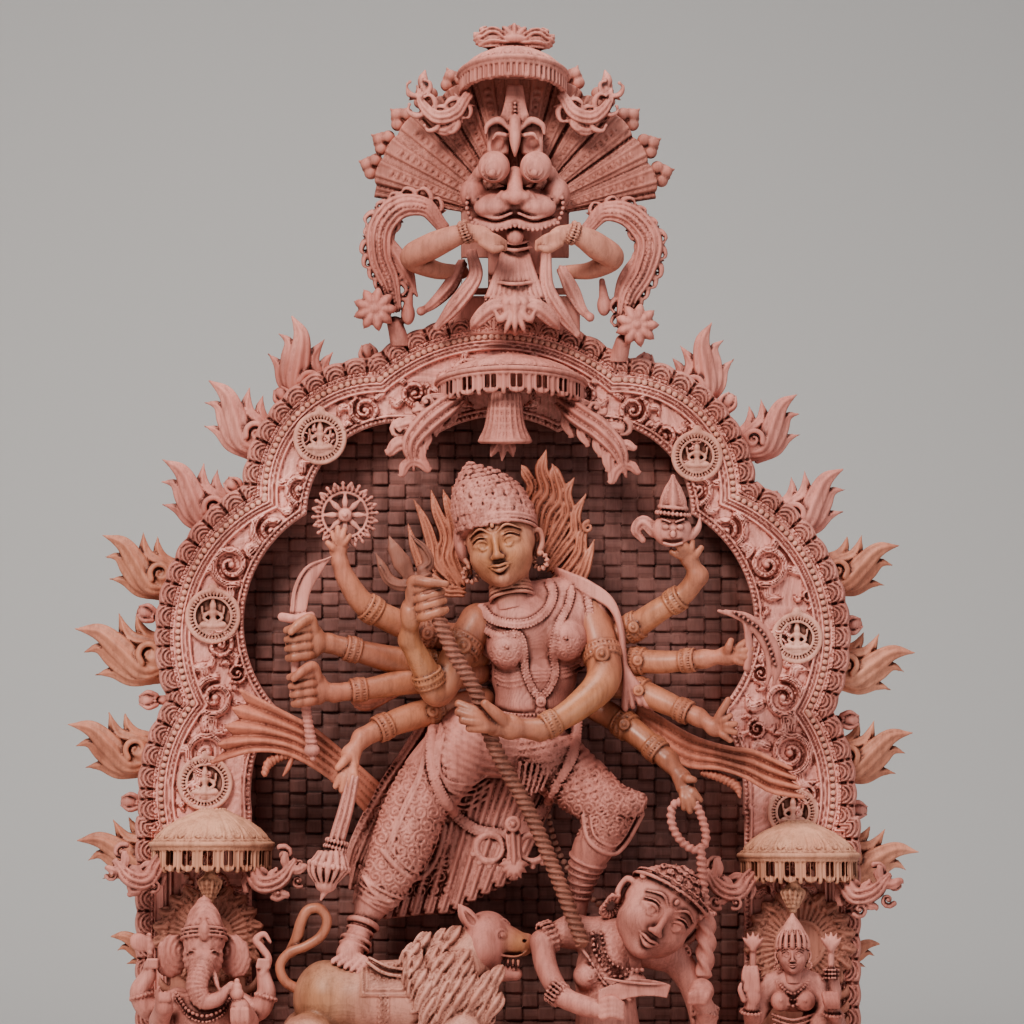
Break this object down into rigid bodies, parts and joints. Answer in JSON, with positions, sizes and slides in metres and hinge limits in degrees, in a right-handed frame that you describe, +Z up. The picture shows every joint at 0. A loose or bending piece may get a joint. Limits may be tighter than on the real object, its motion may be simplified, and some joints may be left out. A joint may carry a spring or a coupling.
{
  "type": "carved wooden shrine sculpture",
  "caption": "Carved wooden shrine figure: a many-armed goddess with weapons on a lion over a demon, in a cusped arch crowned by a guardian mask",
  "frame": {"origin": "middle of the plinth's underside, on the floor or shelf the sculpture stands on", "axes": "+Z up, the front faces -Y, +X to the right as seen from the front"},
  "size_m": [0.84, 0.29, 1.198],
  "materials": {
    "carved_rose": "matt carved",
    "recess_dark": "matt, stained in the hollows",
    "polished_honey": "smooth waxed",
    "canopy_tan": "matt carved",
    "dowel_beech": "plain"
  },
  "bodies": {
    "root": {"plinth_foot": "carved_rose", "plinth_body": "carved_rose", "plinth_cap": "carved_rose", "assembly_dowels": "dowel_beech", "back_board": "recess_dark", "weave_panel": "recess_dark", "arch_frame": "carved_rose", "arch_rim": "carved_rose", "arch_beads": "carved_rose", "arch_pilasters": "carved_rose", "medallions": "canopy_tan", "flames_left": "canopy_tan", "flames_right": "canopy_tan", "rim_buds": "carved_rose", "canopy_dome": "carved_rose", "canopy_fringe": "carved_rose", "canopy_pendant": "carved_rose", "canopy_scrolls": "carved_rose", "mask_face": "carved_rose", "mask_eyes": "polished_honey", "mask_crest": "carved_rose", "mask_arms": "polished_honey", "mask_scrolls": "carved_rose", "mask_pendant": "carved_rose", "top_canopy": "carved_rose", "top_canopy_scrolls": "carved_rose", "goddess_body": "carved_rose", "goddess_head": "polished_honey", "goddess_crown": "carved_rose", "goddess_hair_flames": "carved_rose", "goddess_sashes": "polished_honey", "arm_trident": "polished_honey", "arm_front_left": "polished_honey", "arm_discus": "polished_honey", "arm_sword": "polished_honey", "arm_bow": "polished_honey", "arm_mace": "polished_honey", "arm_conch": "polished_honey", "arm_shield": "polished_honey", "arm_bowl": "polished_honey", "arm_noose": "polished_honey", "trident": "carved_rose", "discus": "carved_rose", "sword": "carved_rose", "bow": "carved_rose", "mace": "carved_rose", "conch": "carved_rose", "shield": "polished_honey", "noose": "carved_rose", "lion_body": "polished_honey", "lion_head": "carved_rose", "lion_tail": "polished_honey", "demon_body": "carved_rose", "demon_head": "carved_rose", "demon_blade": "polished_honey", "elephant_attendant": "carved_rose", "lady_attendant": "carved_rose", "attendant_backs": "carved_rose", "side_canopies": "canopy_tan", "side_canopy_scrolls": "carved_rose"}
  },
  "joints": []
}
